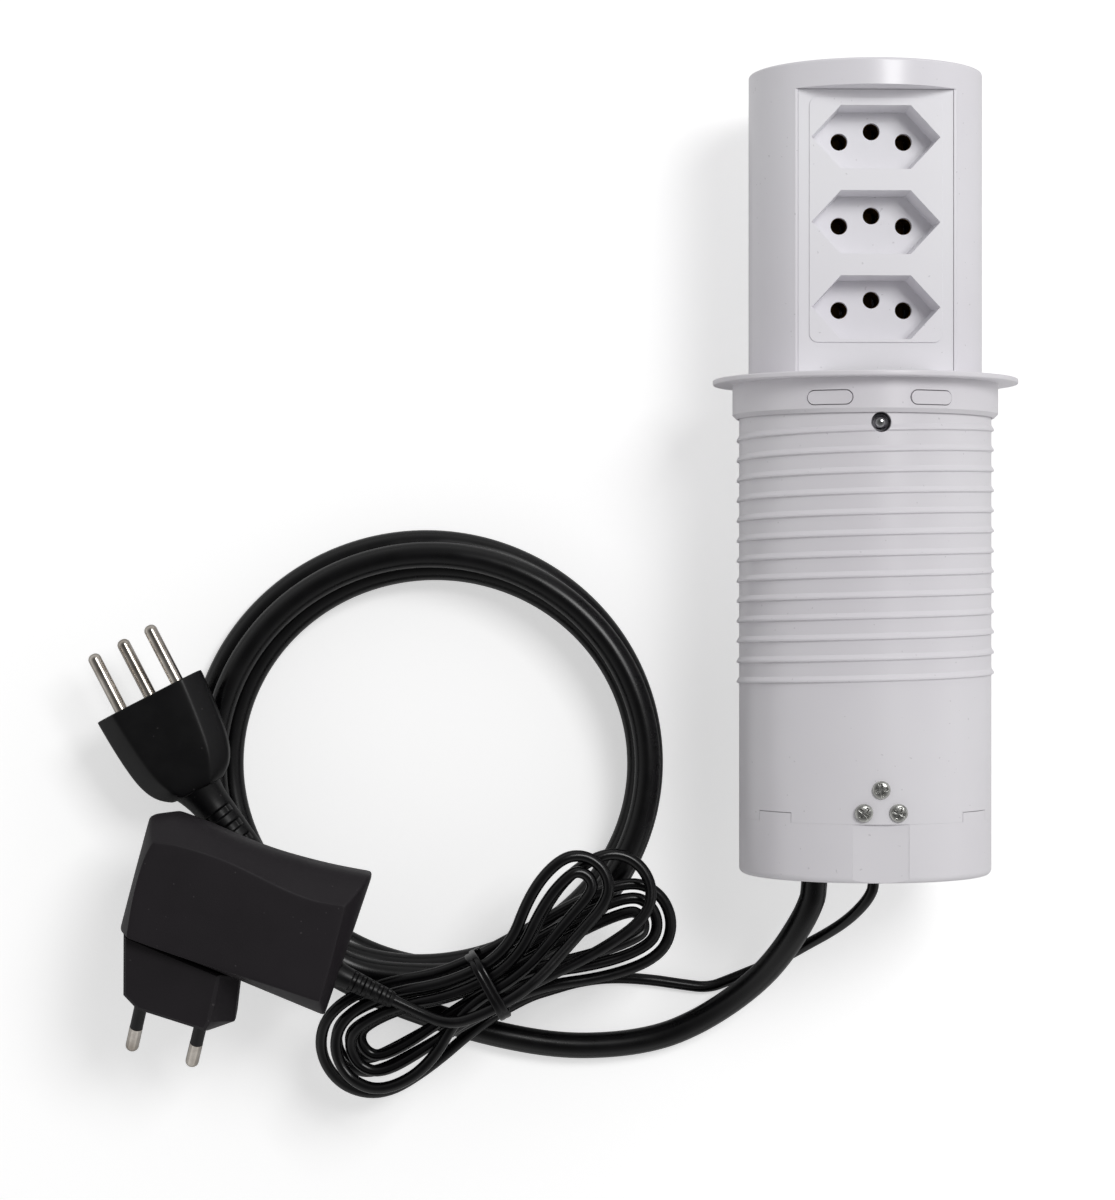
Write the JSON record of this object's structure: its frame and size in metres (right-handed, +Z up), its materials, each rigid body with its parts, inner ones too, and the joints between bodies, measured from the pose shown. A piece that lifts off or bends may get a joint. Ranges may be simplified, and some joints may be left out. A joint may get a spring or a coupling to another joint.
{
  "type": "pop up desk socket",
  "caption": "Round pop up desk socket with plug recesses in a sliding tower, a threaded sleeve, a mains cord and a plug-in adapter.",
  "frame": {"origin": "middle of the tower and sleeve seen from above, on the floor they lie on", "axes": "+Z up and the way the sockets face, +Y along the tower from base to top, +X to the tower's right in the picture"},
  "size_m": [0.2789, 0.3096, 0.0908],
  "materials": {
    "housing_plastic": "satin",
    "tower_plastic": "gloss",
    "inner_plastic": "matt",
    "charging_cover": "matt",
    "zinc_steel": "plain",
    "ball_steel": "polished",
    "contact_brass": "plain",
    "copper_coil": "plain",
    "green_board": "matt",
    "cord_cover": "satin",
    "lead_brown": "satin",
    "lead_blue": "satin",
    "lead_green": "satin",
    "lead_black": "satin",
    "adapter_plastic": "matt",
    "pin_nickel": "polished",
    "iron_core": "matt"
  },
  "bodies": {
    "housing": {"flange_ring": "housing_plastic", "threaded_sleeve": "housing_plastic", "base_cap": "housing_plastic", "sleeve_screws": "zinc_steel", "cord_anchor": "inner_plastic", "anchor_clamp_bar": "inner_plastic", "anchor_clamp_screws": "zinc_steel", "mains_grommet": "cord_cover", "adapter_grommet": "cord_cover", "mains_cord": "cord_cover", "mains_cord_coil": "cord_cover", "mains_cord_tail": "cord_cover", "mains_plug_body": "cord_cover", "mains_plug_pins": "pin_nickel", "mains_plug_relief": "cord_cover", "adapter_cord": "cord_cover", "adapter_cord_hank": "cord_cover", "adapter_cord_tail": "cord_cover", "hank_tie": "cord_cover", "adapter_relief": "cord_cover", "adapter_front_shell": "adapter_plastic", "adapter_back_shell": "adapter_plastic", "adapter_pin_block": "adapter_plastic", "adapter_pins": "pin_nickel", "adapter_pin_sleeves": "adapter_plastic", "adapter_transformer": "iron_core", "adapter_board": "green_board"},
    "tower": {"tower_shell": "tower_plastic", "charging_pad": "charging_cover", "charging_coil": "copper_coil", "charger_board": "green_board", "socket_panel": "tower_plastic", "contact_carrier": "inner_plastic", "line_contacts": "contact_brass", "neutral_contacts": "contact_brass", "earth_contacts": "contact_brass", "carrier_screws": "zinc_steel", "tower_foot": "inner_plastic", "foot_screws": "zinc_steel", "friction_ring": "charging_cover", "bottom_plate": "inner_plastic", "tower_gland": "cord_cover", "line_lead": "lead_brown", "neutral_lead": "lead_blue", "earth_lead": "lead_green", "charger_lead": "lead_black", "service_lead": "cord_cover", "detent_spring": "zinc_steel", "detent_plug": "inner_plastic"},
    "ball": {"detent_ball": "ball_steel"}
  },
  "joints": [
    {"name": "tower_slide", "type": "slide", "parent": "housing", "child": "tower", "axis": [0, 1, 0], "range_m": [-0.0908, 0], "deforming": ["service_lead"]},
    {"name": "ball_press", "type": "slide", "parent": "tower", "child": "ball", "axis": [0, 0, 1], "range_m": [-0.0012, 0], "stiffness_N_per_m": 800, "springref_m": 0.002, "deforming": ["detent_spring"]}
  ]
}
